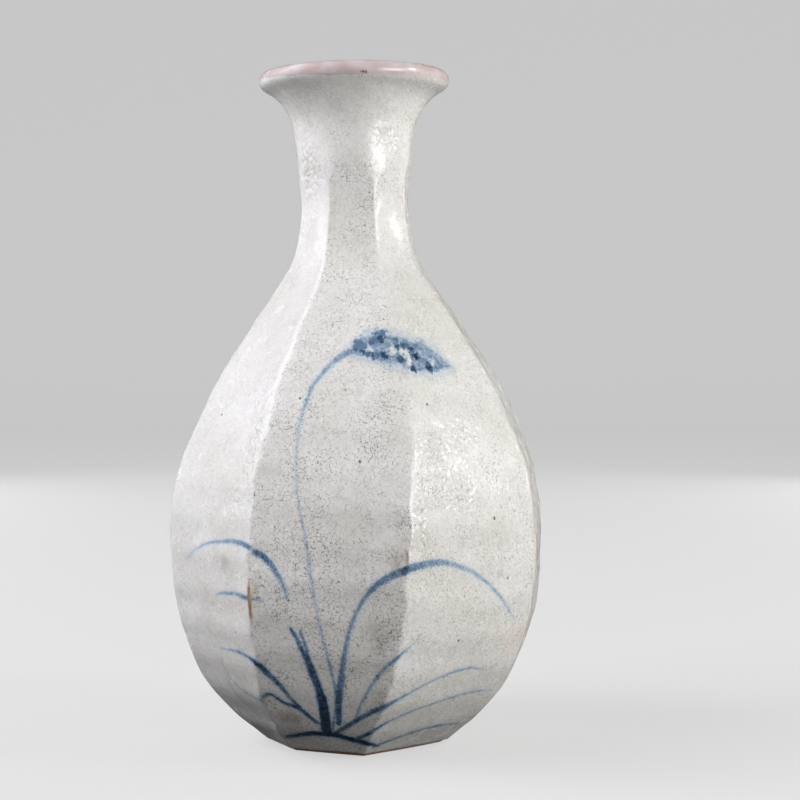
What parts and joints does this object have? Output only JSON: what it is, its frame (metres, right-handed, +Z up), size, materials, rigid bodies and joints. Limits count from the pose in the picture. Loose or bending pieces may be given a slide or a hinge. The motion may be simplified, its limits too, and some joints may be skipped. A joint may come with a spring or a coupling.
{
  "type": "faceted sake bottle",
  "caption": "Stoneware sake bottle, thrown round and knife-faceted into an octagon, with a slim neck, a flared mouth and a crackled white glaze.",
  "frame": {"origin": "centre of the foot's resting face", "axes": "+Z up along the bottle's axis, from the foot to the mouth; half way up the facets they face +X, -X, +Y and -Y; the painted side faces -Y"},
  "size_m": [0.124, 0.124, 0.229],
  "materials": {
    "clay": "matte",
    "outer_glaze": "gloss",
    "lip_glaze": "gloss",
    "inner_glaze": "gloss"
  },
  "bodies": {
    "root": {"clay_body": "clay", "outer_glaze": "outer_glaze", "lip_glaze": "lip_glaze", "inner_glaze": "inner_glaze"}
  },
  "joints": []
}
